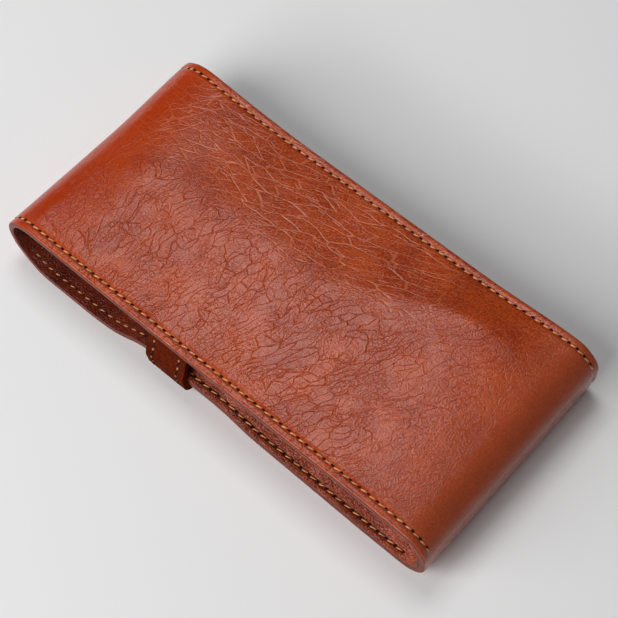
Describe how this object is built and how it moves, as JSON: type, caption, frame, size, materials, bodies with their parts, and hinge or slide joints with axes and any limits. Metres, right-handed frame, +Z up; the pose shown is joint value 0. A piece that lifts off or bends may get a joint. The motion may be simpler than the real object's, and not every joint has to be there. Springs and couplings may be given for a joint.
{
  "type": "pen case",
  "caption": "Flat leather pen case with a fold-over flap tucked through a keeper strap, side gussets and inner dividers between the pen slots.",
  "frame": {"origin": "middle of the bounding box in plan, on the plane it rests on", "axes": "+X along the length from the fold end to the bottom bend, +Z up with the back panel on top and the flap underneath"},
  "size_m": [0.169, 0.086, 0.023],
  "materials": {
    "outer_leather": "glossy full grain, orange-brown",
    "lining_leather": "semi-gloss pebbled, dark red-brown",
    "strap_leather": "matte nubuck, brown",
    "seam_thread": "waxed thread, tan",
    "strap_thread": "waxed thread, dark brown"
  },
  "bodies": {
    "case": {"outer_shell": "outer_leather", "shell_lining": "lining_leather", "gusset_left": "lining_leather", "gusset_right": "lining_leather", "divider_left": "lining_leather", "divider_right": "lining_leather", "strap_outer": "strap_leather", "strap_lining": "strap_leather", "back_seam_left": "seam_thread", "back_seam_right": "seam_thread", "front_seam_left": "seam_thread", "front_seam_right": "seam_thread", "gusset_seam_left": "seam_thread", "gusset_seam_right": "seam_thread", "divider_seam_left": "seam_thread", "divider_seam_right": "seam_thread", "strap_seam_first": "strap_thread", "strap_seam_second": "strap_thread"},
    "fold_upper": {"fold_upper_outer": "outer_leather", "fold_upper_lining": "lining_leather", "fold_upper_seam": "seam_thread"},
    "fold_lower": {"fold_lower_outer": "outer_leather", "fold_lower_lining": "lining_leather", "fold_lower_seam": "seam_thread"},
    "flap": {"flap_outer": "outer_leather", "flap_lining": "lining_leather", "flap_seam_outer": "seam_thread", "flap_seam_inner": "seam_thread"}
  },
  "joints": [
    {"name": "fold_upper_hinge", "type": "hinge", "parent": "case", "child": "fold_upper", "pos_m": [-0.0795, 0, 0.02202], "axis": [0, 1, 0], "range_deg": [0, 60]},
    {"name": "fold_middle_hinge", "type": "hinge", "parent": "fold_upper", "child": "fold_lower", "pos_m": [-0.085, 0, 0.0125], "axis": [0, 1, 0], "range_deg": [0, 60]},
    {"name": "flap_hinge", "type": "hinge", "parent": "fold_lower", "child": "flap", "pos_m": [-0.0795, 0, 0.00298], "axis": [0, 1, 0], "range_deg": [0, 60]}
  ],
  "couplings": [
    {"joint": "fold_middle_hinge", "follows": "fold_upper_hinge", "ratio": 1},
    {"joint": "flap_hinge", "follows": "fold_upper_hinge", "ratio": 1}
  ]
}
